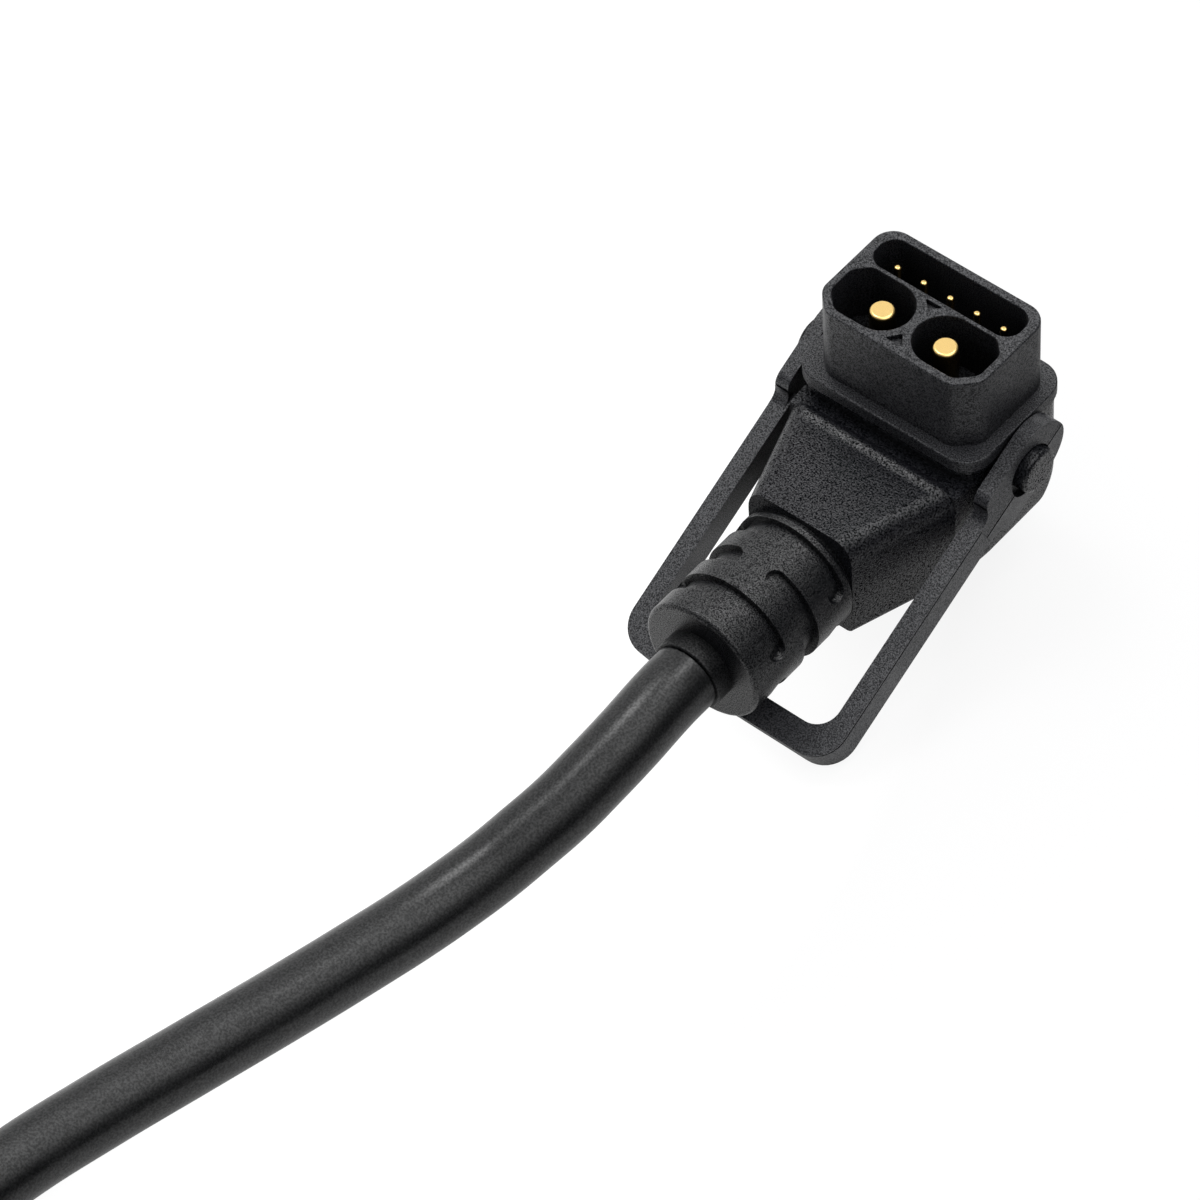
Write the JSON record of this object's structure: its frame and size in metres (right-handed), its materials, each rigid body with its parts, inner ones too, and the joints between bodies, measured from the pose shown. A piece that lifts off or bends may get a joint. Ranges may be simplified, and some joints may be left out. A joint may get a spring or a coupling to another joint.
{
  "type": "battery swap connector",
  "caption": "Right-angle battery swap plug with a shrouded nose, round power pins, a row of signal pins, a swinging pull handle, a slotted strain relief and a thick lead.",
  "frame": {"origin": "middle of the flange's seating face, on the plane where the plug's nose leaves the flange", "axes": "+Z is the way the plug goes into its socket, -Y is the way the lead leaves, X runs along the two power pins"},
  "size_m": [0.1374, 0.343, 0.0532],
  "materials": {
    "shroud_nylon": "fine spark-eroded matte",
    "carrier_nylon": "moulded matte",
    "body_plastic": "grained, slightly glossy",
    "core_plastic": "moulded matte",
    "boot_elastomer": "grained satin",
    "sleeve_elastomer": "smooth satin",
    "handle_nylon": "fine spark-eroded matte",
    "contact_gold": "gold plated, smooth",
    "lead_jacket": "smooth satin",
    "shrink_red": "shrunk film",
    "shrink_black": "shrunk film",
    "wire_red": "extruded",
    "wire_black": "extruded",
    "wire_white": "extruded",
    "wire_yellow": "extruded",
    "wire_green": "extruded",
    "wire_blue": "extruded",
    "wire_brown": "extruded"
  },
  "bodies": {
    "plug": {"shroud_housing": "shroud_nylon", "contact_carrier": "carrier_nylon", "body_overmould": "body_plastic", "body_core": "core_plastic", "strain_relief": "boot_elastomer", "exit_sleeve": "sleeve_elastomer", "power_pin_positive": "contact_gold", "power_pin_negative": "contact_gold", "signal_pin_1": "contact_gold", "signal_pin_2": "contact_gold", "signal_pin_3": "contact_gold", "signal_pin_4": "contact_gold", "signal_pin_5": "contact_gold", "power_wire_positive": "wire_red", "power_wire_negative": "wire_black", "signal_wire_1": "wire_white", "signal_wire_2": "wire_yellow", "signal_wire_3": "wire_green", "signal_wire_4": "wire_blue", "signal_wire_5": "wire_brown", "power_sleeve_positive": "shrink_red", "power_sleeve_negative": "shrink_black", "signal_sleeves": "shrink_black", "lead_end": "lead_jacket", "lead_run": "lead_jacket", "lead_coil": "lead_jacket", "power_core_positive": "wire_red", "power_core_negative": "wire_black", "signal_cores": "wire_white"},
    "handle": {"pull_handle": "handle_nylon"}
  },
  "joints": [
    {"name": "handle_hinge", "type": "hinge", "parent": "plug", "child": "handle", "pos_m": [0, -0.0014, -0.0073], "axis": [1, 0, 0], "range_deg": [0, 150]}
  ]
}
